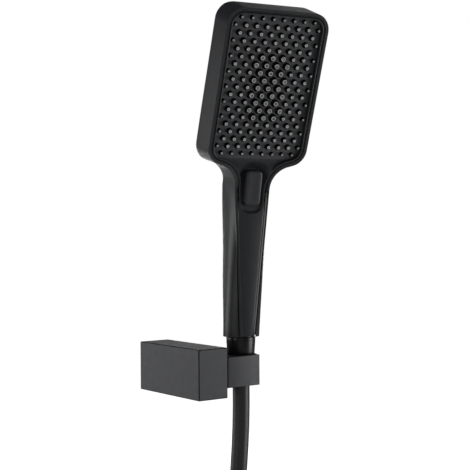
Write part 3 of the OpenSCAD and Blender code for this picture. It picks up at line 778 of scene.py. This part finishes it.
# ---- Spray plate: a moulded plate sunk in the frame, with a countersunk hole for every soft tip.

nozzle_pitch = 8.82
row_pitch = 5.94
long_row = 9
half_rows = 9
massage_rows = 4
field_up = 0.9
plate_face = 2.8
tip_small = 2.2
tip_rain = 3.1
tip_massage = 4.2


def nozzles():
    """Every nozzle as (x, z, diameter, is it a massage one)."""
    for row in range(-half_rows, half_rows + 1):
        in_row = long_row - 1 if row % 2 else long_row
        for k in range(in_row):
            x = (k - (in_row - 1) / 2) * nozzle_pitch
            massage = abs(row) <= massage_rows and abs(x) < 1.6 * nozzle_pitch
            edge = abs(row) == half_rows or abs(x) > (long_row / 2 - 0.6) * nozzle_pitch
            wide = tip_massage if massage else tip_small if edge else tip_rain
            yield x, field_up + row * row_pitch, wide, massage


def sunk_radius(wide):
    """Radius of the countersink round a tip of this diameter; its wall is painted black as shade round the tip.
    """
    return wide * 0.68 + 0.45


plate_plastic = grainy("plate_plastic", (0.07, 0.0715, 0.076), 0.45, grain=1600, grain_depth=0.2, shade=0.1)
bm = bmesh.new()
plate_edge = round_rect(76 - 0.1, 114, 9, 8)
rim = [bm.verts.new(head @ (Vector((x, plate_face, z)) * MM)) for x, z in plate_edge]
edges = [bm.edges.new((rim[k], rim[(k + 1) % len(rim)])) for k in range(len(rim))]
for x, z, wide, massage in nozzles():
    ring = bmesh.ops.create_circle(bm, segments=12, radius=sunk_radius(wide) * MM,
                                   matrix=head @ at(x, plate_face, z) @ turned("X", 90))["verts"]
    edges += list({edge for vert in ring for edge in vert.link_edges})
bmesh.ops.triangle_fill(bm, use_beauty=True, edges=edges, normal=head.to_3x3() @ Vector((0, -1, 0)))
holes = [(x, z, wide) for x, z, wide, massage in nozzles()]
for x, z, wide in holes:
    steps = ((sunk_radius(wide), 0), (wide / 2 + 0.15, 1.3), (wide / 2 + 0.15, 2.4))
    rows = []
    for r, y in steps:
        place = head @ at(x, plate_face + y, z) @ turned("X", 90)
        rows.append([place @ (Vector((r * cos(2 * pi * k / 12), r * sin(2 * pi * k / 12), 0)) * MM)
                     for k in range(12)])
    # The countersink walls take the painted shade black: a painted shadow round every tip.
    skin(bm, rows, closed=True, looks=(1, 1))
back = [[head @ (Vector((x, y, z)) * MM) for x, z in plate_edge] for y in (plate_face, plate_face + 2.4)]
skin(bm, back, closed=True)
bmesh.ops.remove_doubles(bm, verts=bm.verts, dist=2e-6)
bmesh.ops.recalc_face_normals(bm, faces=bm.faces)
build(bm, "spray_plate_moulded", "handset", [plate_plastic, painted_shade_black], smooth_angle=30,
      replaces=["spray_plate"])


# ---- Soft tips: two silicone mats behind the plate, whose tips come through its holes.
# A rain tip has one hole; a massage tip is wider, with a pin in its middle.

# One silicone for every tip, in two copies: the side painted near black as shade, the end ring painted pale as
# painted light.
silicone_painted_shade = grainy("silicone_painted_shade", (0.005, 0.005, 0.0055), 0.5, grain=1500, grain_depth=0.2, specular=0.3)
silicone_painted_light = grainy("silicone_painted_light", (0.68, 0.685, 0.69), 0.5, grain=2200, grain_depth=0.4, shade=0.2,
                       shade_scale=400)
tip_out = 3.1


def tip(bm, x, z, wide, massage):
    """One tip: its side, a rounded edge, the ring of its end and the hole in it. The side and hole are painted
    near black as shade, the end ring painted pale as lit.
    """
    r = wide / 2
    end = plate_face - tip_out
    if massage:
        steps = ((r, plate_face + 1, 0), (r - 0.22, end + 0.3, 0), (r - 0.5, end, 1), (r - 1.0, end, 1),
                 (r - 1.05, end + 0.5, 0), (0.45, end + 0.5, 0), (0.4, end + 0.1, 1))
    else:
        hole = 0.42 if wide > 2.5 else 0.3
        steps = ((r, plate_face + 1, 0), (r - 0.2, end + 0.3, 0), (r - 0.42, end, 1), (hole, end, 1),
                 (hole, end + 1, 0))
    segments = 12
    rows = []
    for radius, y, _ in steps:
        place = head @ at(x, y, z) @ turned("X", 90)
        rows.append([place @ (Vector((radius * cos(2 * pi * k / segments), radius * sin(2 * pi * k / segments),
                                      0)) * MM) for k in range(segments)])
    made = skin(bm, rows, closed=True)
    # Faces that look straight out at the tip's end take the painted light copy; the rest take the painted shade
    # copy.
    bottom = bm.faces.new(made[-1])
    bottom.material_index = steps[-1][2]
    for k, (one, two) in enumerate(zip(made, made[1:])):
        for face in {f for v in one for f in v.link_faces if all(w in one or w in two for w in f.verts)}:
            face.material_index = 1 if steps[k + 1][2] and steps[k][1] - steps[k + 1][1] < 0.4 else 0


for mat, is_massage in (("rain_mat", False), ("massage_mat", True)):
    bm = bmesh.new()
    for x, z, wide, massage in nozzles():
        if massage == is_massage:
            tip(bm, x, z, wide, massage)
    for face in bm.faces:
        face.normal_update()
    bmesh.ops.recalc_face_normals(bm, faces=bm.faces)
    build(bm, mat + "_tips", "handset", [silicone_painted_shade, silicone_painted_light], smooth_angle=40,
          replaces=[mat])


# ---- Push button: a satin cap with a slight crown, on a stem that slides in the selector housing.

button_coat = grainy("button_coat", (0.045, 0.0465, 0.052), 0.4, grain=1500, grain_depth=0.1, shade=0.06)
bm = bmesh.new()
rows = []
for grow, y in ((0, 4), (0, -1.5), (-0.25, -2.05), (-0.7, -2.35), (-1.3, -2.5), (-3.5, -2.4), (-6.4, -2.32)):
    rows.append([button @ (Vector((x, y, z)) * MM) for x, z in
                 round_rect(14 + 2 * grow, 28 + 2 * grow, max(3.5 + grow, 0.3))])
made = skin(bm, rows, closed=True)
bm.faces.new(made[0])
bm.faces.new(made[-1])
bmesh.ops.create_cone(bm, cap_ends=True, segments=24, radius1=2.5 * MM, radius2=2.5 * MM, depth=12.4 * MM,
                      matrix=button @ at(0, 1.2 + 6.2, 0) @ turned("X", 90))
bmesh.ops.recalc_face_normals(bm, faces=bm.faces)
build(bm, "button_cap_moulded", "button", [button_coat], smooth_angle=30,
      replaces=["button_cap"])


# ---- Button spring: a coil of steel wire round the stem.

spring_turns = 4
spring_y0 = 1.9
spring_y1 = 6.3
wire_r = 0.4
bm = bmesh.new()
rows = []
steps = spring_turns * 24
for k in range(steps + 1):
    turn = 2 * pi * k / 24
    middle = 3.8
    y = spring_y0 + (spring_y1 - spring_y0) * k / steps
    row = []
    for j in range(8):
        around = 2 * pi * j / 8
        r = middle + wire_r * cos(around)
        row.append(button @ (Vector((r * cos(turn), y + wire_r * sin(around), r * sin(turn))) * MM))
    rows.append(row)
made = skin(bm, rows, closed=True)
bm.faces.new(made[0])
bm.faces.new(made[-1])
bmesh.ops.recalc_face_normals(bm, faces=bm.faces)
spring = build(bm, "button_spring_wound", "button", [plated_steel], replaces=["button_spring"])
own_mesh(spring)


# ---- Water parts inside: grey moulded plastic and an orange wheel, kept as designed.

inner_plastic = grainy("inner_plastic", (0.5, 0.51, 0.52), 0.38, grain=600, grain_depth=0.1, shade=0.04)
wheel_orange = grainy("wheel_orange", (0.7, 0.25, 0.05), 0.4, grain=600, grain_depth=0.1, shade=0.05)
for node in ("water_tube", "selector_housing", "feed_elbow", "distributor", "manifold_plate"):
    finish(node, inner_plastic)
finish("selector_wheel", wheel_orange)
